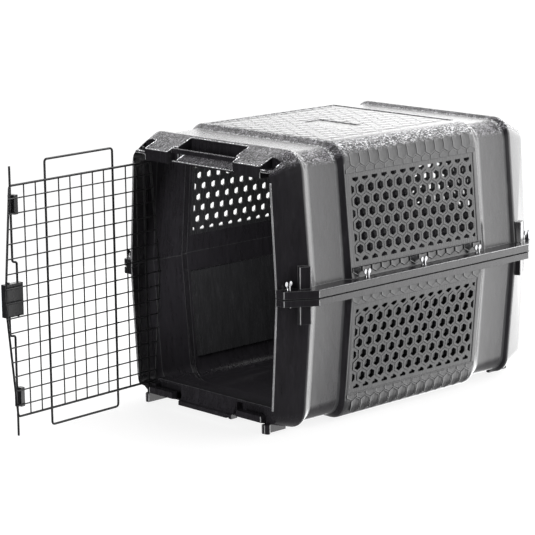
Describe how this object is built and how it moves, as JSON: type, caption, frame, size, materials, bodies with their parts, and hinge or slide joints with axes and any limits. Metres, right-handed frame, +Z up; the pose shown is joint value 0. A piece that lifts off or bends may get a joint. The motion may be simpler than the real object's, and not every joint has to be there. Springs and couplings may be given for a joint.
{
  "type": "pet transport carrier",
  "caption": "Hard moulded pet transport carrier with hexagonal side vents, a top carry handle and a hinged wire door held by a squeeze latch.",
  "frame": {"origin": "on the floor, under the middle of the body", "axes": "+X to the carrier's right as seen from the door side, +Y from the door to the back, +Z up"},
  "size_m": [0.528, 1.0752, 0.54],
  "materials": {
    "shell_plastic": "satin moulded with a fine grain",
    "vent_plastic": "satin moulded",
    "bright_steel": "bright plated",
    "coated_wire": "dark satin coating",
    "latch_plastic": "satin moulded",
    "spring_steel": "bright drawn wire"
  },
  "bodies": {
    "shell": {"top_shell": "shell_plastic", "bottom_shell": "shell_plastic", "carry_handle": "shell_plastic", "upper_vent_right": "vent_plastic", "upper_vent_left": "vent_plastic", "lower_vent_right": "vent_plastic", "lower_vent_left": "vent_plastic", "rear_vent": "vent_plastic", "side_bolts": "bright_steel", "corner_bolts": "bright_steel", "side_wing_nuts": "bright_steel", "corner_wing_nuts": "bright_steel", "nut_washers": "bright_steel"},
    "door": {"hinge_rod": "coated_wire", "door_frame_wire": "coated_wire", "door_horizontal_wires": "coated_wire", "door_vertical_wires": "coated_wire", "door_loop_wire": "coated_wire", "latch_housing": "latch_plastic", "latch_cover": "latch_plastic", "upper_rod_guide": "latch_plastic", "lower_rod_guide": "latch_plastic", "upper_latch_spring": "spring_steel", "lower_latch_spring": "spring_steel"},
    "upper_latch": {"upper_latch_rod": "coated_wire", "upper_latch_tab": "latch_plastic"},
    "lower_latch": {"lower_latch_rod": "coated_wire", "lower_latch_tab": "latch_plastic"}
  },
  "joints": [
    {"name": "door_swing", "type": "hinge", "parent": "shell", "child": "door", "pos_m": [-0.1686, -0.349, 0.267], "axis": [0, 0, 1], "range_deg": [-83, 86.5]},
    {"name": "upper_latch_slide", "type": "slide", "parent": "door", "child": "upper_latch", "axis": [0, 0, -1], "range_m": [0, 0.016], "stiffness_N_per_m": 150, "springref_m": -0.02, "deforming": ["upper_latch_spring"]},
    {"name": "lower_latch_slide", "type": "slide", "parent": "door", "child": "lower_latch", "axis": [0, 0, 1], "range_m": [0, 0.016], "stiffness_N_per_m": 150, "springref_m": -0.02, "deforming": ["lower_latch_spring"]}
  ]
}
